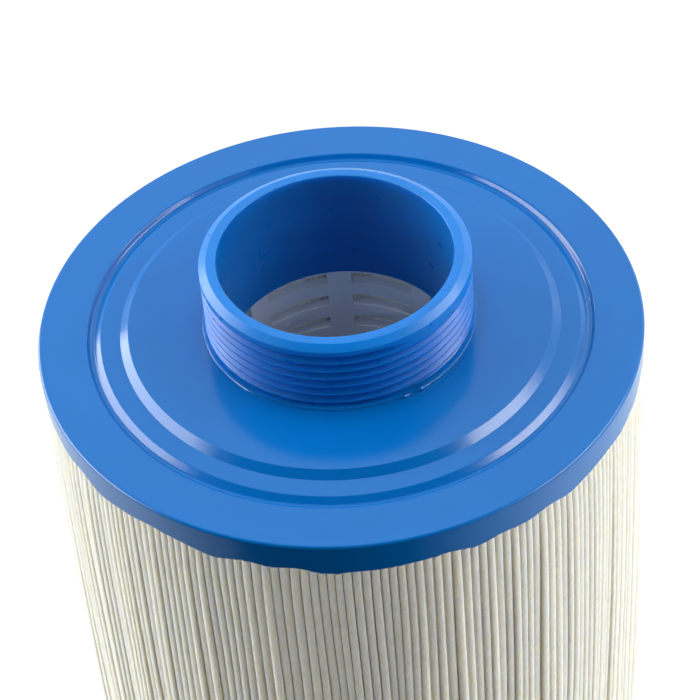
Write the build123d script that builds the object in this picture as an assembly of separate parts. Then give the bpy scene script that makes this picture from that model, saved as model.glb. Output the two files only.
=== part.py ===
from build123d import *
import os
from math import cos, pi, radians, sin

# Screw-in pleated filter cartridge for a spa or small pool.
# It stands on its closed end with the threaded outlet upwards. The origin is the
# centre of the closed end's outer face, +Z runs up the axis, and all sizes are
# in millimetres.

# ---- overall ----
CAP_R = 68.25  # both end caps, 136.5 mm across
FACE_Z = 238.0  # outer face of the threaded end cap
CAP_EDGE_ROUND = 0.6

# ---- moulded rings in the outer face of each end cap ----
GROOVE_OUTER_R = 57.35
GROOVE_INNER_R = 54.15
GROOVE_ROOT_R = 56.2  # the outer flank is the steeper one
GROOVE_VEE_DEPTH = 1.4  # where the flanks would meet, before the root is rounded
GROOVE_ROOT_ROUND = 0.85
GROOVE_LIP_ROUND = 0.4
BOSS_FOOT_R = 49.7  # foot of the chamfer that leads up to the centre disc
BOSS_TOP_R = 47.8
BOSS_RISE = 1.4
DISH_DEPTH = 1.0  # the closed end is dished where the other end is raised

# ---- lower edge of the cast resin, which creeps unevenly down the pleats ----
RESIN_DEEP = 6.5
RESIN_TILT = 1.45  # the mould stood slightly off level
RESIN_TILT_TOWARDS = -42.0  # degrees round the axis
RESIN_WAVES = (  # per turn, height, phase
    (7, 0.22, 0.35),
    (13, 0.27, 2.97),
    (16, 0.34, 2.5),
    (19, 0.18, 3.8),
    (30, 0.22, 0.35),
    (38, 0.21, 2.65),
)
RESIN_STEPS = 288
RESIN_SPARE = 3.0  # a cap's blank is this much deeper than the mean edge that is cut from it
EDGE_MARGIN = 8.0  # the cutting surface runs this far past the resin on both sides
CUT_REACH = 20.0  # cutting solids run this far past what they cut

# ---- threaded outlet, 2 inch fine thread, 11 threads per inch ----
BORE_R = 26.25
RIM_R = 28.45
CREST_R = 30.16
NECK_RISE = 19.3  # rim above the cap's face
RIM_CHAMFER_TALL = 1.0
RIM_ROUND = 0.2
PITCH = 25.4 / 11
THREAD_DEPTH = 1.5
CREST_FLAT = 0.42
ROOT_FLAT = 0.24
CUTTER_PROUD = 0.2  # the cutter stands this far outside the crests
FRONT_ROOT_RISE = 9.12  # height above the face of one thread root at the front
TURNS_ABOVE = 3.04  # full turns from that root up to where the thread runs out
TURNS_BELOW = 3.6  # down to where it disappears in the base ring
RUN_OUT_TURN = 16.0  # degrees over which the groove fades out at the top
RUN_OUT_STEPS = 4
BASE_RING_R = 30.75  # seam ring where the neck leaves the resin
BASE_RING_RISE = 1.85
ANCHOR_R = 36.0  # flange that the resin grips
ANCHOR_TOP = -1.4
ANCHOR_BOTTOM = -3.4
NECK_BODY_R = 29.4
SPIGOT_R = 27.9  # end of the neck that enters the core
SHOULDER = -6.3
NECK_BOTTOM = -10.3

# ---- slotted core ----
CORE_R = 29.4
CORE_BORE_R = 26.9
CORE_BOTTOM_Z = 5.5
CORE_JOINT = -118.0  # below the face
JOINT_LAP = 3.0
JOINT_R = 28.1
FIT_GAP = 0.05
SLOT_PITCH = 7.0
SLOT_TALL = 3.3
FIRST_SLOT_TOP = -11.4
ROWS_PER_SECTION = 15
ROWS_SKIPPED = 1  # the joint takes the place of one row
RIB_COUNT = 8
RIB_WIDE = 5.8
RIB_START = 89.0  # degrees round the axis
SLOT_CUT_R = 31.0  # the slots are cut between these two radii, right through the wall
SLOT_CUT_INNER_R = 24.9

# ---- plug in the closed end of the core ----
PLUG_FLANGE_Z = 4.0
PLUG_TOP_Z = 9.5
PLUG_DISH = 2.2
PLUG_WALL = 2.4

# ---- pleated fabric ----
MEDIA_R = 68.2
MEDIA_BORE_R = 29.7

TOLERANCE = 0.01


def disc(radius, low, high):
    """A solid disc between two heights."""
    return Pos(0, 0, (low + high) / 2) * Cylinder(radius, high - low)


def turned(*points):
    """A solid of revolution from its half section, given as radius and height."""
    with BuildSketch(Plane.XZ) as section:
        with BuildLine():
            Polyline(*points, close=True)
        make_face()
    return revolve(section.sketch, Axis.Z)


def circles_at(solid, height, *radii):
    """The circular edges at one height, of the given radii."""
    found = []
    for edge in solid.edges().filter_by(GeomType.CIRCLE):
        level = abs(edge.center().Z - height) < TOLERANCE
        if level and any(abs(edge.radius - radius) < TOLERANCE for radius in radii):
            found.append(edge)
    return found


def resin_depth(angle):
    """How far the resin reaches below a cap's face at an angle round the axis, in radians."""
    depth = RESIN_DEEP + RESIN_TILT * cos(angle - radians(RESIN_TILT_TOWARDS))
    for per_turn, height, phase in RESIN_WAVES:
        depth += height * sin(per_turn * angle + phase)
    return depth


def resin_line(radius, face_z, side):
    """The resin's uneven edge at one radius. The side is -1 below a face, or +1 above it."""
    points = []
    for step in range(RESIN_STEPS):
        angle = 2 * pi * step / RESIN_STEPS
        height = face_z + side * resin_depth(angle)
        points.append((radius * cos(angle), radius * sin(angle), height))
    return Edge.make_spline(points, periodic=True)


def split_at_resin(face_z, side, towards):
    """A thick solid on one side of the resin's uneven edge, towards the fabric or the face."""
    inner = resin_line(CORE_R - EDGE_MARGIN, face_z, side)
    outer = resin_line(CAP_R + EDGE_MARGIN, face_z, side)
    surface = Face.make_surface_from_curves(inner, outer)
    direction = side if towards == "fabric" else -side
    return extrude(surface, amount=CUT_REACH, dir=(0, 0, direction))


def cap_blank(face_z, side, centre_rise):
    """A cap's disc with its groove and its raised or dished centre, before the resin edge is cut."""
    root_z = face_z + side * GROOVE_VEE_DEPTH
    low = face_z + side * (RESIN_DEEP + RESIN_SPARE)
    blank = turned(
        (0, low),
        (CAP_R, low),
        (CAP_R, face_z),
        (GROOVE_OUTER_R, face_z),
        (GROOVE_ROOT_R, root_z),
        (GROOVE_INNER_R, face_z),
        (BOSS_FOOT_R, face_z),
        (BOSS_TOP_R, face_z - side * centre_rise),
        (0, face_z - side * centre_rise),
    )
    blank = fillet(circles_at(blank, face_z, CAP_R), CAP_EDGE_ROUND)
    blank = fillet(circles_at(blank, root_z, GROOVE_ROOT_R), GROOVE_ROOT_ROUND)
    return fillet(circles_at(blank, face_z, GROOVE_INNER_R, GROOVE_OUTER_R), GROOVE_LIP_ROUND)


def groove_section(turn, share):
    """The groove's section at a number of turns up the helix, at a share of its full depth."""
    angle = 2 * pi * turn
    lead = PITCH / (2 * pi * CREST_R)
    outwards = (cos(angle), sin(angle), 0)
    centre = (CREST_R * cos(angle), CREST_R * sin(angle), turn * PITCH)
    section_plane = Plane(origin=centre, x_dir=outwards, z_dir=(-sin(angle), cos(angle), lead))
    flank = (PITCH - CREST_FLAT - ROOT_FLAT) / 2 / THREAD_DEPTH
    depth = share * THREAD_DEPTH
    half_root = ROOT_FLAT / 2
    half_top = half_root + flank * (depth + CUTTER_PROUD)
    with BuildSketch(section_plane) as section:
        with BuildLine():
            Polyline(
                (CUTTER_PROUD, half_top),
                (CUTTER_PROUD, -half_top),
                (-depth, -half_root),
                (-depth, half_root),
                close=True,
            )
        make_face()
    return section.sketch


def thread_groove():
    """The helical cuts that leave the thread standing on the neck, with a fading end at the top."""
    turns = TURNS_BELOW + TURNS_ABOVE
    path = Helix(pitch=PITCH, height=turns * PITCH, radius=CREST_R, center=(0, 0, 0))
    full_depth = sweep(groove_section(0, 1), path=path, is_frenet=True)
    fading = []
    for step in range(RUN_OUT_STEPS + 1):
        turn = turns + step / RUN_OUT_STEPS * RUN_OUT_TURN / 360
        fading.append(groove_section(turn, 1 - step / RUN_OUT_STEPS))
    run_out = loft(fading, ruled=True)
    low = FACE_Z + FRONT_ROOT_RISE - TURNS_BELOW * PITCH
    place = Pos(0, 0, low) * Rot(0, 0, -90 - 360 * TURNS_BELOW)
    return place * full_depth, place * run_out


def threaded_nipple():
    """Rigid threaded neck with a bore, an anchor flange and a spigot for the core."""
    z = FACE_Z
    body = turned(
        (BORE_R, z + NECK_BOTTOM),
        (SPIGOT_R, z + NECK_BOTTOM),
        (SPIGOT_R, z + SHOULDER),
        (NECK_BODY_R, z + SHOULDER),
        (NECK_BODY_R, z + ANCHOR_BOTTOM),
        (ANCHOR_R, z + ANCHOR_BOTTOM),
        (ANCHOR_R, z + ANCHOR_TOP),
        (CREST_R, z + ANCHOR_TOP),
        (CREST_R, z + NECK_RISE - RIM_CHAMFER_TALL),
        (RIM_R, z + NECK_RISE),
        (BORE_R, z + NECK_RISE),
    )
    body = fillet(circles_at(body, z + NECK_RISE, BORE_R, RIM_R), RIM_ROUND)
    for cut in thread_groove():
        body -= cut
    base_ring = disc(BASE_RING_R, z + ANCHOR_TOP, z + BASE_RING_RISE)
    return body + (base_ring - disc(SPIGOT_R, z + ANCHOR_TOP, z + BASE_RING_RISE))


def threaded_end_cap():
    """Cast resin cap that holds the fabric, the core and the threaded neck."""
    cap = cap_blank(FACE_Z, -1, BOSS_RISE) - split_at_resin(FACE_Z, -1, "fabric")
    cap -= disc(ANCHOR_R, FACE_Z + ANCHOR_BOTTOM, FACE_Z + ANCHOR_TOP)
    cap -= disc(BASE_RING_R, FACE_Z + ANCHOR_TOP, FACE_Z + CUT_REACH)
    return cap - disc(CORE_R, FACE_Z - CUT_REACH, FACE_Z + ANCHOR_BOTTOM)


def closed_end_cap():
    """Cast resin cap without an opening, which the cartridge stands on."""
    cap = cap_blank(0, 1, -DISH_DEPTH) - split_at_resin(0, 1, "fabric")
    return cap - disc(CORE_R, PLUG_FLANGE_Z, CUT_REACH)


def slot_row(top_z):
    """One row of slots round the core, with ribs left between them."""
    low_z = top_z - SLOT_TALL
    row = disc(SLOT_CUT_R, low_z, top_z) - disc(SLOT_CUT_INNER_R, low_z, top_z)
    for rib in range(RIB_COUNT // 2):
        angle = RIB_START + rib * 360 / RIB_COUNT
        bar = Box(2 * (SLOT_CUT_R + CUT_REACH), RIB_WIDE, SLOT_TALL)
        row -= Pos(0, 0, top_z - SLOT_TALL / 2) * Rot(0, 0, angle) * bar
    return row


def slotted(tube, first_row):
    """The tube with its rows of slots cut, counted from the threaded end."""
    for row in range(first_row, first_row + ROWS_PER_SECTION):
        tube -= slot_row(FACE_Z + FIRST_SLOT_TOP - row * SLOT_PITCH)
    return tube


def core_section_upper():
    """Slotted tube under the neck, with a socket for the neck and a male end below."""
    z = FACE_Z
    tube = turned(
        (CORE_BORE_R, z + CORE_JOINT - JOINT_LAP),
        (JOINT_R - FIT_GAP, z + CORE_JOINT - JOINT_LAP),
        (JOINT_R - FIT_GAP, z + CORE_JOINT),
        (CORE_R, z + CORE_JOINT),
        (CORE_R, z + SHOULDER),
        (SPIGOT_R + FIT_GAP, z + SHOULDER),
        (SPIGOT_R + FIT_GAP, z + NECK_BOTTOM),
        (CORE_BORE_R, z + NECK_BOTTOM),
    )
    return slotted(tube, 0)


def core_section_lower():
    """Slotted tube that snaps onto the upper one and stands in the closed end cap."""
    z = FACE_Z
    tube = turned(
        (CORE_BORE_R, CORE_BOTTOM_Z),
        (CORE_R, CORE_BOTTOM_Z),
        (CORE_R, z + CORE_JOINT),
        (JOINT_R, z + CORE_JOINT),
        (JOINT_R, z + CORE_JOINT - JOINT_LAP),
        (CORE_BORE_R, z + CORE_JOINT - JOINT_LAP),
    )
    return slotted(tube, ROWS_PER_SECTION + ROWS_SKIPPED)


def core_plug():
    """Dished plug that keeps the resin out of the core's closed end."""
    fit_r = CORE_BORE_R - FIT_GAP
    return turned(
        (0, PLUG_FLANGE_Z),
        (CORE_R, PLUG_FLANGE_Z),
        (CORE_R, CORE_BOTTOM_Z),
        (fit_r, CORE_BOTTOM_Z),
        (fit_r, PLUG_TOP_Z),
        (fit_r - PLUG_WALL, PLUG_TOP_Z),
        (fit_r - PLUG_WALL, PLUG_TOP_Z - PLUG_DISH),
        (0, PLUG_TOP_Z - PLUG_DISH),
    )


def pleated_media():
    """The pleat pack's outer shape, closed at both ends by the resin's uneven edge."""
    pack = disc(MEDIA_R, 0, FACE_Z) - disc(MEDIA_BORE_R, 0, FACE_Z)
    pack -= split_at_resin(0, 1, "face")
    return pack - split_at_resin(FACE_Z, -1, "face")


def main():
    nodes = {
        "threaded_end_cap": threaded_end_cap,
        "threaded_nipple": threaded_nipple,
        "core_section_upper": core_section_upper,
        "core_section_lower": core_section_lower,
        "core_plug": core_plug,
        "pleated_media": pleated_media,
        "closed_end_cap": closed_end_cap,
    }
    os.makedirs("parts", exist_ok=True)
    for name, make in nodes.items():
        export_step(make(), f"parts/{name}.step")


main()
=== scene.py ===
from math import cos, pi, radians, sin, tan

import bpy
import numpy as np
from mathutils import Matrix, Vector

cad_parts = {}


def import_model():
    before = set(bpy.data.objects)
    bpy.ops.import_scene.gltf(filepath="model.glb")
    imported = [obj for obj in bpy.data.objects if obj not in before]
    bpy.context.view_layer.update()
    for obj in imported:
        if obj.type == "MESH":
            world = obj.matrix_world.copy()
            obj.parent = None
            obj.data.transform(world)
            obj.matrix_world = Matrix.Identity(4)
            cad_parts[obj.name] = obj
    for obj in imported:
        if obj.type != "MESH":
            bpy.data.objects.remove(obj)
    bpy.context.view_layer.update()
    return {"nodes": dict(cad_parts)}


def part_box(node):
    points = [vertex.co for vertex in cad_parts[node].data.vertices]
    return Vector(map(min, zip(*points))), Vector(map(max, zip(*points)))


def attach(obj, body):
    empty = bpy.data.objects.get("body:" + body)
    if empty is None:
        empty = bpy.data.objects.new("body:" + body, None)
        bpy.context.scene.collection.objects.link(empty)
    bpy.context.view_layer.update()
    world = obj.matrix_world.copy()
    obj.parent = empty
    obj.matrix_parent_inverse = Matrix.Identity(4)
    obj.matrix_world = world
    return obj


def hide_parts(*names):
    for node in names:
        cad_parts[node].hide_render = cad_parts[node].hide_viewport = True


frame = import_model()
MM = 0.001

# The cartridge stands on its closed end, with the threaded outlet upwards. All sizes are
# in metres, in the row frame: the origin is under the axis and +Z runs up it.

# ---- the part, as the CAD model has it ----
NECK_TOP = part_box("threaded_nipple")[1].z
NECK_RISE = 19.3 * MM
FACE_Z = NECK_TOP - NECK_RISE  # the threaded cap's outer face
BOSS_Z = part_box("threaded_end_cap")[1].z  # top of its raised centre
RESIN_DEEP = 6.5 * MM
RESIN_TILT = 1.45 * MM
RESIN_TILT_TOWARDS = radians(-42)
RESIN_WAVES = (  # per turn, height, phase
    (7, 0.22 * MM, 0.35),
    (13, 0.27 * MM, 2.97),
    (16, 0.34 * MM, 2.5),
    (19, 0.18 * MM, 3.8),
    (30, 0.22 * MM, 0.35),
    (38, 0.21 * MM, 2.65),
)

# ---- colours: the two that a material varies between ----
RESIN_BLUES = ((0.0, 0.117, 0.415, 1), (0.0002, 0.127, 0.445, 1))
NECK_BLUES = ((0.0, 0.150, 0.52, 1), (0.0003, 0.166, 0.57, 1))
CORE_GREYS = ((0.48, 0.50, 0.53, 1), (0.56, 0.58, 0.61, 1))
FABRIC_WHITES = ((0.84, 0.80, 0.70, 1), (0.90, 0.865, 0.775, 1))
FIBRE_WHITE = (0.97, 0.95, 0.885, 1)
WICKED_BLUE = (0.02, 0.12, 0.42, 1)
SCATTER = 2.5 * MM  # how far light spreads inside the neck and the fabric

# ---- pleated fabric ----
PLEATS = 222
PLEAT_SEED = 7
HEIGHT_STEPS = 28
PITCH_SPREAD = 0.19
PITCH_OWN = 0.5  # the part of the spread that is each pleat's own
PITCH_SHARED = 0.9  # and the part that it has in common with its neighbours
PITCH_LIMITS = (0.62, 1.45)  # times the mean pitch
SWAYS = ((0.5, 0.45), (1, 0.35), (2, 0.225), (3.5, 0.11))  # waves up the pleat, degrees
TIP_R = 67.95 * MM  # where the resin holds the pleats
TIP_BULGE = 1.65 * MM  # how far they spread half way up
BULGE_SHAPE = 0.6  # below 1, so that they spread soon after the resin
BULGE_UNEVEN = 0.1
PROUD = 0.22 * MM  # how far single pleats stand out
DRIFT = 0.3 * MM  # how far neighbours wander in and out on their way up
FOLD_R = 30.2 * MM
TIP_FLATNESS = 0.36  # a ridge rises this share of its half width; 1 would be round
TIP_TURNS = (-52, -18, 18, 52)  # degrees round the ridge, where it has its fold lines
TIP_SHARE = 0.93  # of the room that a pleat has, the part it fills at its ridge
WIDTH_SHARES = ((32 * MM, 0.60), (45 * MM, 0.66), (60 * MM, 0.69))  # and at radii further in
WIDTH_FOLLOWS_ROOM = 0.85
GAP_CLOSED = 0.03 * MM  # from a pleat's side to the middle of the gap, where pleats are tight
GAP_MORE = 0.26 * MM  # and how much more where they part
GAP_FULL_R = 50 * MM  # inside this radius the gap narrows towards the core
EMBEDDED = 2.0 * MM  # the fabric's ends run this far into the resin
WICKED_MM = (-0.25, 0.3)  # how far resin is drawn up a pleat, the least and the most
WICKED_FADE = 0.3 * MM

# ---- flash round the foot of the neck ----
FLASH_SEED = 3
FLASH_STEPS = 720
FLASH_R = 30.78 * MM
FLASH_SIZE = 0.2 * MM
FLASH_SWELL = 0.6  # times its size, over long stretches
FLASH_RIPPLE = 0.35  # and over short ones
FLASH_LEAST = 0.2
FLASH_LUMPS = (  # degrees round the axis, degrees wide, height
    (-58, 2.2, 0.55 * MM),
    (-66, 1.2, 0.25 * MM),
    (-132, 5.0, 0.3 * MM),
    (-20, 3.0, 0.2 * MM),
)

# ---- camera ----
AIM = Vector((1.7 * MM, -11.0 * MM, FACE_Z))
DISTANCE = 0.4986
ELEVATION = radians(44.48)
ROLL = radians(-4.51)
LENS = 115.5
SENSOR_WIDTH = 36

# ---- surroundings: angles are off the front, and positive on the right ----
TABLE_RADIANCE = 1.05
TABLE_LEFT = (radians(-42), radians(-88))  # brightens from the first to the second
TABLE_LEFT_LEAST = 0.14
TABLE_LEFT_EDGE = (radians(-44), radians(-50))
TABLE_RIGHT = (radians(21), radians(85))
BACKDROP_RADIANCE = 1.0
BACKDROP_EDGE = (radians(123), radians(144))
BACKDROP_TOP = (0.95, 0.8)  # the sine of the elevation
HORIZON = (-0.04, 0.04)
FRONT_RADIANCE = 0.01
SEEN_RADIANCE = 1.05  # what the camera sees of it all
SKY_TINT = (0.95, 1.04, 1.0, 1)
FLOOR_HALF = 6.0
FLOOR_GREY = (0.6, 0.6, 0.6, 1)
FLOOR_GLOW = 0.93

# ---- lamps: name, degrees off the front, elevation, width and height in degrees, radiance ----
LAMP_DISTANCE = 1.0
PANELS = (
    ("left_panel", -103, 23, 60, 46, 3.2),
    ("right_panel", 90, 39, 40, 20, 4.2),
    ("right_wall", 94, 32, 92, 48, 0.9),
)
GLEAMS = (  # seen only as reflections
    ("left_gleam", -105, 20, 60, 44, 4.2),
    ("right_gleam", 90, 41, 38, 16, 4.5),
)
BOUNCES = (  # never seen as reflections
    ("ceiling", 180, 86, 30, 30, 6.4),
    ("left_bounce", -114, 4, 60, 40, 2.7),
    ("right_bounce", 80, -10, 50, 40, 3.8),
)
FABRIC_LAMPS = (
    ("fabric_front", 0, 0, 60, 50, 0.14, (1, 0.62, 0.0)),
    ("fabric_left", -91, 0, 60, 50, 3.2),
    ("fabric_right", 77, 0, 60, 50, 3.0),
)
CORE_GLOW = (0.0125, -14 * MM)  # power, and depth below the cap's face
FOLD_GLOW = (0.009, 24 * MM)
GLOW_COLOUR = (0.56, 0.70, 1.0)
GLOW_SIZE = 8 * MM
ALL_BUT_FABRIC = (
    "threaded_end_cap",
    "closed_end_cap",
    "threaded_nipple",
    "neck_flash",
    "core_section_upper",
    "core_section_lower",
    "core_plug",
)


def resin_depth(angle):
    """How far the resin reaches from a cap's face at an angle round the axis."""
    depth = RESIN_DEEP + RESIN_TILT * np.cos(angle - RESIN_TILT_TOWARDS)
    for per_turn, height, phase in RESIN_WAVES:
        depth = depth + height * np.sin(per_turn * angle + phase)
    return depth


# ---------------------------------------------------------------- helpers


class Nodes:
    """A short way to write a material's node tree."""

    def __init__(self, tree):
        self.tree = tree
        tree.nodes.clear()

    def put(self, socket, value):
        """Links a socket to another one, or sets its constant."""
        if isinstance(value, bpy.types.NodeSocket):
            self.tree.links.new(value, socket)
        else:
            socket.default_value = value

    def add(self, kind, inputs=None, **settings):
        node = self.tree.nodes.new(kind)
        for name, value in settings.items():
            setattr(node, name, value)
        for name, value in (inputs or {}).items():
            self.put(node.inputs[name], value)
        return node

    def math(self, operation, a, b=0.0):
        node = self.add("ShaderNodeMath", operation=operation)
        self.put(node.inputs[0], a)
        self.put(node.inputs[1], b)
        return node.outputs[0]

    def noise(self, vector, scale, detail=3.0, roughness=0.5, **inputs):
        values = {"Vector": vector, "Scale": scale, "Detail": detail, "Roughness": roughness}
        values.update(inputs)
        return self.add("ShaderNodeTexNoise", values).outputs["Fac"]

    def ramp(self, value, low, high, to_low=0.0, to_high=1.0):
        values = {
            "Value": value,
            "From Min": low,
            "From Max": high,
            "To Min": to_low,
            "To Max": to_high,
        }
        return self.add("ShaderNodeMapRange", values, clamp=True).outputs["Result"]

    def mix(self, share, a, b):
        """A colour between a and b."""
        node = self.add("ShaderNodeMix", data_type="RGBA")
        self.put(node.inputs[0], share)
        self.put(node.inputs[6], a)
        self.put(node.inputs[7], b)
        return node.outputs[2]

    def varied(self, noise, colours):
        """A colour that goes from the first to the second as the noise rises."""
        return self.mix(self.ramp(noise, 0.3, 0.7), *colours)

    def blend(self, share, a, b):
        """A number between a and b."""
        return self.math("ADD", a, self.math("MULTIPLY", share, self.math("SUBTRACT", b, a)))

    def bump(self, height, strength, distance):
        values = {"Height": height, "Strength": strength, "Distance": distance}
        return self.add("ShaderNodeBump", values).outputs["Normal"]

    def scaled(self, vector, x, y, z):
        values = {"Vector": vector, "Scale": (x, y, z)}
        return self.add("ShaderNodeMapping", values).outputs["Vector"]

    def place(self):
        """The point on the object, in its own frame."""
        return self.add("ShaderNodeTexCoord").outputs["Object"]

    def principled(self, colour, roughness, normal, inputs=None):
        """Ends the material with a principled shader."""
        values = {"Base Color": colour, "Roughness": roughness, "Normal": normal}
        values.update(inputs or {})
        shader = self.add("ShaderNodeBsdfPrincipled", values)
        self.end(shader)
        return shader

    def end(self, shader):
        self.add("ShaderNodeOutputMaterial", {"Surface": shader.outputs[0]})


def new_material(name):
    material = bpy.data.materials.new(name)
    material.use_nodes = True
    return material, Nodes(material.node_tree)


def new_object(name, data):
    obj = bpy.data.objects.new(name, data)
    bpy.context.scene.collection.objects.link(obj)
    return obj


def give(obj, material):
    obj.data.materials.clear()
    obj.data.materials.append(material)


def smooth_noise(random, count, passes):
    """Random values round a closed ring, from -1 to 1, evened out with their neighbours."""
    values = random.normal(size=count)
    for _ in range(passes):
        values = (np.roll(values, 1) + 2 * values + np.roll(values, -1)) / 4
    return values / np.abs(values).max()


def ring_mesh(name, points, closed):
    """A smooth surface through columns of points that go right round the axis. A closed one
    also joins each column's last point to its first."""
    columns, along, _ = points.shape
    first = np.arange(along if closed else along - 1)[None, :]
    second = (first + 1) % along
    column = np.arange(columns)[:, None]
    here = column * along
    after = (column + 1) % columns * along
    corners = [here + first, after + first, after + second, here + second]
    faces = np.stack(corners, axis=2).reshape(-1, 4)
    mesh = bpy.data.meshes.new(name)
    mesh.from_pydata(points.reshape(-1, 3).tolist(), [], faces.tolist())
    mesh.shade_smooth()
    return mesh


# ---------------------------------------------------------------- materials


def cap_resin():
    """Cast blue resin: even gloss, with faint swirls and ripples."""
    material, n = new_material("cap_resin")
    place = n.place()
    colour = n.varied(n.noise(place, 26, 4, 0.55, Distortion=0.8), RESIN_BLUES)
    grain = n.noise(place, 900, 3)
    rough = n.ramp(grain, 0.3, 0.7, 0.12, 0.2)
    ripple = n.noise(place, 60, 2)
    bump = n.bump(n.math("ADD", ripple, n.math("MULTIPLY", grain, 0.03)), 0.04, 0.4 * MM)
    n.principled(colour, rough, bump)
    return material


def neck_plastic():
    """Injection-moulded blue plastic, a little translucent."""
    material, n = new_material("neck_plastic")
    place = n.place()
    flow = n.noise(n.scaled(place, 1, 1, 4), 45, 4, 0.5, Distortion=0.5)
    colour = n.varied(flow, NECK_BLUES)
    rough = n.ramp(n.noise(place, 220, 2), 0.3, 0.7, 0.27, 0.35)
    bump = n.bump(n.noise(place, 90, 2), 0.06, 0.3 * MM)
    inside = {
        "Specular IOR Level": 0.5,
        "Subsurface Weight": 1.0,
        "Subsurface Radius": (0.1, 0.6, 1.0),
        "Subsurface Scale": SCATTER,
    }
    n.principled(colour, rough, bump, inside).subsurface_method = "BURLEY"
    return material


def core_plastic():
    """Natural polypropylene of the core, greyish and milky."""
    material, n = new_material("core_plastic")
    place = n.place()
    colour = n.varied(n.noise(n.scaled(place, 1, 1, 0.3), 60, 4), CORE_GREYS)
    grain = n.noise(place, 800, 2)
    rough = n.ramp(grain, 0.3, 0.7, 0.35, 0.5)
    n.principled(colour, rough, n.bump(grain, 0.1, 0.05 * MM))
    return material


def filter_fabric():
    """White matt polyester with a grain of short fibres, and blue where resin is drawn up."""
    material, n = new_material("filter_fabric")
    place = n.place()
    fibres = n.noise(n.scaled(place, 1, 1, 0.35), 1500, 4, 0.6, Distortion=0.6)
    colour = n.varied(n.noise(place, 160, 4, 0.6), FABRIC_WHITES)
    colour = n.mix(n.ramp(fibres, 0.4, 0.6, 0.0, 0.6), colour, FIBRE_WHITE)
    below = n.add("ShaderNodeAttribute", attribute_name="below_resin").outputs["Fac"]
    reach = n.add("ShaderNodeAttribute", attribute_name="wicked").outputs["Fac"]
    wet = n.ramp(n.math("SUBTRACT", below, reach), 0.0, WICKED_FADE, 1.0, 0.0)
    colour = n.mix(wet, colour, WICKED_BLUE)
    inside = {
        "Specular IOR Level": 0.2,
        "Subsurface Weight": 1.0,
        "Subsurface Radius": (1.0, 0.85, 0.55),
        "Subsurface Scale": SCATTER,
    }
    n.principled(colour, 0.85, n.bump(fibres, 0.6, 0.1 * MM), inside)
    return material


# ---------------------------------------------------------------- the pleated sheet


def pleat_angles(random):
    """The angle of each pleat's ridge round the axis. They bunch up, as gathered pleats do."""
    own = random.normal(size=PLEATS)
    shared = smooth_noise(random, PLEATS, 3)
    pitch = 1 + PITCH_SPREAD * (PITCH_OWN * own + PITCH_SHARED * shared)
    pitch = np.clip(pitch, *PITCH_LIMITS)
    pitch *= 2 * pi / pitch.sum()
    return np.cumsum(pitch)


def ridge_angles(random, height):
    """Each ridge's angle at each height. It leans and sways together with its neighbours."""
    ridges = pleat_angles(random)
    sway = np.zeros((PLEATS, HEIGHT_STEPS + 1))
    for waves, size in SWAYS:
        for trig in (np.sin, np.cos):
            amount = smooth_noise(random, PLEATS, 5)
            sway += radians(size) * amount[:, None] * trig(2 * pi * waves * height)[None, :]
    sway -= sway[:, :1] + (sway[:, -1:] - sway[:, :1]) * height[None, :]
    return ridges[:, None] + sway


def ridge_radii(random, height):
    """How far from the axis each ridge is at each height."""
    bulge = (np.sin(pi * height) ** BULGE_SHAPE)[None, :]
    proud = PROUD * random.normal(size=PLEATS)
    drift = DRIFT * smooth_noise(random, PLEATS, 1)
    uneven = (1 + BULGE_UNEVEN * smooth_noise(random, PLEATS, 2))[:, None]
    tip = TIP_R + TIP_BULGE * bulge * uneven
    return tip + (proud[:, None] + drift[:, None] * np.cos(2 * pi * height)[None, :]) * bulge


def half_width(room, radius, share, gap):
    """A pleat's width on one side of its ridge, kept clear of the next pleat."""
    open_pitch = room * radius
    mean = pi / PLEATS * radius
    wanted = share * mean + WIDTH_FOLLOWS_ROOM * (open_pitch - mean)
    return np.minimum(wanted, open_pitch - gap * np.minimum(1, radius / GAP_FULL_R))


def fold_lines(random, height):
    """The radius and the angle of every fold line at each height, in their order round the axis."""
    ridge = ridge_angles(random, height)
    following = np.vstack([ridge[1:], ridge[:1] + 2 * pi])
    before = np.vstack([ridge[-1:] - 2 * pi, ridge[:-1]])
    room_before = (ridge - before) / 2
    room_after = (following - ridge) / 2
    tip = ridge_radii(random, height)
    parted = np.clip(smooth_noise(random, PLEATS, 2), 0, 1)
    gap = (GAP_CLOSED + GAP_MORE * parted)[:, None]

    half_before = half_width(room_before, tip, TIP_SHARE, gap)
    half_after = half_width(room_after, tip, TIP_SHARE, gap)
    tip_height = TIP_FLATNESS * (half_before + half_after) / 2
    shoulder = tip - tip_height

    lines = [(FOLD_R, (before + ridge) / 2)]  # one pleat's, from its valley to the next
    for radius, share in WIDTH_SHARES:
        half = half_width(room_before, radius, share, gap)
        lines.append((radius, ridge - half / radius))
    lines.append((shoulder, ridge - half_before / shoulder))
    for turn in TIP_TURNS:
        half = half_before if turn < 0 else half_after
        radius = shoulder + tip_height * cos(radians(turn))
        lines.append((radius, ridge + half * sin(radians(turn)) / radius))
    lines.append((shoulder, ridge + half_after / shoulder))
    for radius, share in reversed(WIDTH_SHARES):
        half = half_width(room_after, radius, share, gap)
        lines.append((radius, ridge + half / radius))

    radii = np.stack([np.broadcast_to(radius, ridge.shape) for radius, _ in lines], axis=1)
    angles = np.stack([angle for _, angle in lines], axis=1)
    columns = PLEATS * len(lines)
    return radii.reshape(columns, -1), angles.reshape(columns, -1)


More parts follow.
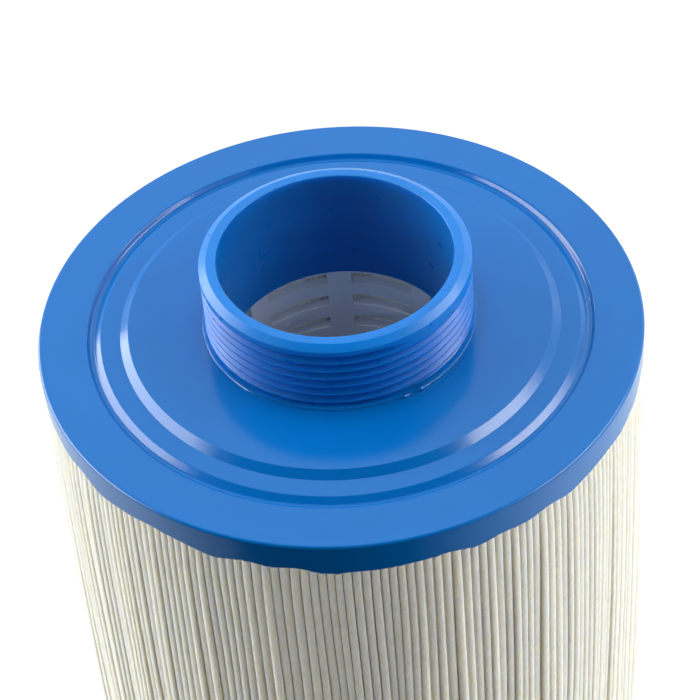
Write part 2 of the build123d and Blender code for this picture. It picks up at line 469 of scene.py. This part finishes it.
def pleated_sheet(material):
    """One open sheet, folded into every pleat and joined up round the core."""
    random = np.random.RandomState(PLEAT_SEED)
    height = np.linspace(0, 1, HEIGHT_STEPS + 1)
    radius, angle = fold_lines(random, height)
    columns, levels = radius.shape

    edge_low = resin_depth(angle[:, :1])
    edge_top = FACE_Z - edge_low
    low = edge_low - EMBEDDED
    high = edge_top + EMBEDDED
    z = low + (high - low) * height[None, :]
    below = np.minimum(edge_top - z, z - edge_low)
    wick = np.repeat(random.uniform(*WICKED_MM, size=PLEATS) * MM, columns // PLEATS)
    wick = np.repeat(wick[:, None], levels, axis=1)

    points = np.stack([radius * np.cos(angle), radius * np.sin(angle), z], axis=2)
    mesh = ring_mesh("pleated_sheet", points, closed=False)
    for name, values in (("below_resin", below), ("wicked", wick)):
        attribute = mesh.attributes.new(name, "FLOAT", "POINT")
        attribute.data.foreach_set("value", values.astype(np.float32).ravel())
    sheet = new_object("pleated_sheet", mesh)
    give(sheet, material)
    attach(sheet, "root")
    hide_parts("pleated_media")


# ---------------------------------------------------------------- the neck's flash


def neck_flash(material):
    """The thin, uneven bead of resin that creeps up where the neck leaves the cap."""
    random = np.random.RandomState(FLASH_SEED)
    around = np.linspace(0, 2 * pi, FLASH_STEPS, endpoint=False)
    swell = smooth_noise(random, FLASH_STEPS, 60)
    ripple = smooth_noise(random, FLASH_STEPS, 6)
    share = np.clip(1 + FLASH_SWELL * swell + FLASH_RIPPLE * ripple, FLASH_LEAST, None)
    size = FLASH_SIZE * share
    for towards, wide, tall in FLASH_LUMPS:
        away = (around - radians(towards) + pi) % (2 * pi) - pi
        size += tall * np.exp(-((away / radians(wide)) ** 2))
    rows = []
    for turn in range(0, 181, 30):
        reach = FLASH_R + size * cos(radians(turn))
        z = BOSS_Z + size * sin(radians(turn))
        rows.append(np.stack([reach * np.cos(around), reach * np.sin(around), z], axis=1))
    points = np.stack(rows, axis=1)
    bead = new_object("neck_flash", ring_mesh("neck_flash", points, closed=True))
    give(bead, material)
    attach(bead, "root")


# ---------------------------------------------------------------- studio


def direction(off_front, elevation):
    """A direction from the part, by degrees round from the front and above the horizon."""
    round_, up = radians(off_front), radians(elevation)
    return Vector((sin(round_) * cos(up), -cos(round_) * cos(up), sin(up)))


def softbox(name, off_front, elevation, width, height, radiance, tint=(1, 1, 1)):
    """A rectangular lamp that faces the cap. Its width and height are given in degrees."""
    data = bpy.data.lights.new(name, "AREA")
    data.shape = "RECTANGLE"
    data.size = 2 * LAMP_DISTANCE * tan(radians(width / 2))
    data.size_y = 2 * LAMP_DISTANCE * tan(radians(height / 2))
    data.energy = radiance * pi * data.size * data.size_y
    data.color = tint
    lamp = new_object(name, data)
    back = direction(off_front, elevation)
    x_axis = Vector((0, 0, 1)).cross(back).normalized()
    y_axis = back.cross(x_axis)
    turn = Matrix((x_axis, y_axis, back)).transposed().to_4x4()
    place = Vector((0, 0, FACE_Z)) + back * LAMP_DISTANCE
    lamp.matrix_world = Matrix.Translation(place) @ turn
    lamp.visible_camera = False
    return lamp


def only_lights(lamp, *names):
    """Limits a lamp to some of the objects."""
    lit = bpy.data.collections.new("lit_by_" + lamp.name)
    for name in names:
        lit.objects.link(frame["nodes"].get(name) or bpy.data.objects[name])
    lamp.light_linking.receiver_collection = lit


def glow(name, power, below_face, *lights):
    """A small lamp on the axis that reaches only some of the objects."""
    data = bpy.data.lights.new(name, "POINT")
    data.energy = power
    data.color = GLOW_COLOUR
    data.shadow_soft_size = GLOW_SIZE
    lamp = new_object(name, data)
    lamp.location = (0, 0, FACE_Z - below_face)
    lamp.visible_camera = False
    only_lights(lamp, *lights)
    return lamp


def world():
    """Bright behind, dark in front, and below the horizon a pale table that is dark in front."""
    sky = bpy.data.worlds.new("studio")
    sky.use_nodes = True
    bpy.context.scene.world = sky
    n = Nodes(sky.node_tree)
    towards = n.add("ShaderNodeTexCoord").outputs["Generated"]
    x, y, z = n.add("ShaderNodeSeparateXYZ", {"Vector": towards}).outputs
    off_front = n.math("ARCTAN2", x, n.math("MULTIPLY", y, -1.0))
    left = n.ramp(off_front, *TABLE_LEFT, TABLE_LEFT_LEAST, TABLE_RADIANCE)
    left = n.math("MULTIPLY", left, n.ramp(off_front, *TABLE_LEFT_EDGE))
    right = n.ramp(off_front, *TABLE_RIGHT, 0.0, TABLE_RADIANCE)
    table = n.math("ADD", left, right)
    behind = n.ramp(n.math("ABSOLUTE", off_front), *BACKDROP_EDGE)
    low_enough = n.ramp(z, *BACKDROP_TOP)
    backdrop = n.math("MULTIPLY", n.math("MULTIPLY", behind, low_enough), BACKDROP_RADIANCE)
    backdrop = n.math("MAXIMUM", backdrop, FRONT_RADIANCE)
    level = n.blend(n.ramp(z, *HORIZON), table, backdrop)
    camera_ray = n.add("ShaderNodeLightPath").outputs["Is Camera Ray"]
    strength = n.blend(camera_ray, level, SEEN_RADIANCE)
    background = n.add("ShaderNodeBackground", {"Color": SKY_TINT, "Strength": strength})
    n.add("ShaderNodeOutputWorld", {"Surface": background.outputs[0]})


def floor():
    """A glowing white ground that only the camera sees."""
    mesh = bpy.data.meshes.new("floor")
    corners = [(x * FLOOR_HALF, y * FLOOR_HALF, 0) for x, y in ((-1, -1), (1, -1), (1, 1), (-1, 1))]
    mesh.from_pydata(corners, [], [(0, 1, 2, 3)])
    plane = new_object("floor", mesh)
    material, n = new_material("floor")
    diffuse = n.add("ShaderNodeBsdfDiffuse", {"Color": FLOOR_GREY})
    light = n.add("ShaderNodeEmission", {"Strength": FLOOR_GLOW})
    both = n.add("ShaderNodeAddShader")
    n.put(both.inputs[0], diffuse.outputs[0])
    n.put(both.inputs[1], light.outputs[0])
    n.end(both)
    plane.data.materials.append(material)
    plane.visible_glossy = False
    plane.visible_diffuse = False
    plane.visible_shadow = False
    plane.visible_transmission = False


def studio():
    """The lamps are set for the front view. The fabric has its own, because the ones that
    shape the blue parts overexpose it. Seen from its sides or from behind it still is
    overexposed, most of all on the left."""
    world()
    floor()
    for lamp in PANELS:
        only_lights(softbox(*lamp), *ALL_BUT_FABRIC)
    for lamp in GLEAMS:
        softbox(*lamp).visible_diffuse = False
    for lamp in BOUNCES:
        bounce = softbox(*lamp)
        bounce.visible_glossy = False
        only_lights(bounce, *ALL_BUT_FABRIC)
    for lamp in FABRIC_LAMPS:
        fill = softbox(*lamp)
        fill.visible_glossy = False
        only_lights(fill, "pleated_sheet")

    # The core's lining is lit from its mouth. The folds seen through its slots are lit as if
    # the core cast no shadow.
    glow("core_glow", *CORE_GLOW, "core_section_upper", "core_section_lower", "core_plug")
    folds = glow("fold_glow", *FOLD_GLOW, "pleated_sheet")
    folds.light_linking.blocker_collection = folds.light_linking.receiver_collection


def camera():
    data = bpy.data.cameras.new("camera")
    data.lens = LENS
    data.sensor_width = SENSOR_WIDTH
    view = new_object("camera", data)
    view.location = AIM + Vector((0, -DISTANCE * cos(ELEVATION), DISTANCE * sin(ELEVATION)))
    turn = Matrix.Rotation(pi / 2 - ELEVATION, 4, "X") @ Matrix.Rotation(ROLL, 4, "Z")
    view.matrix_world = Matrix.Translation(view.location) @ turn
    bpy.context.scene.camera = view


# ---------------------------------------------------------------- the whole model


def main():
    nodes = frame["nodes"]
    resin = cap_resin()
    neck = neck_plastic()
    core = core_plastic()
    for name in ("threaded_end_cap", "closed_end_cap"):
        give(nodes[name], resin)
    give(nodes["threaded_nipple"], neck)
    for name in ("core_section_upper", "core_section_lower", "core_plug"):
        give(nodes[name], core)
    pleated_sheet(filter_fabric())
    neck_flash(resin)
    studio()
    camera()
    bpy.context.scene.view_settings.view_transform = "Standard"


main()
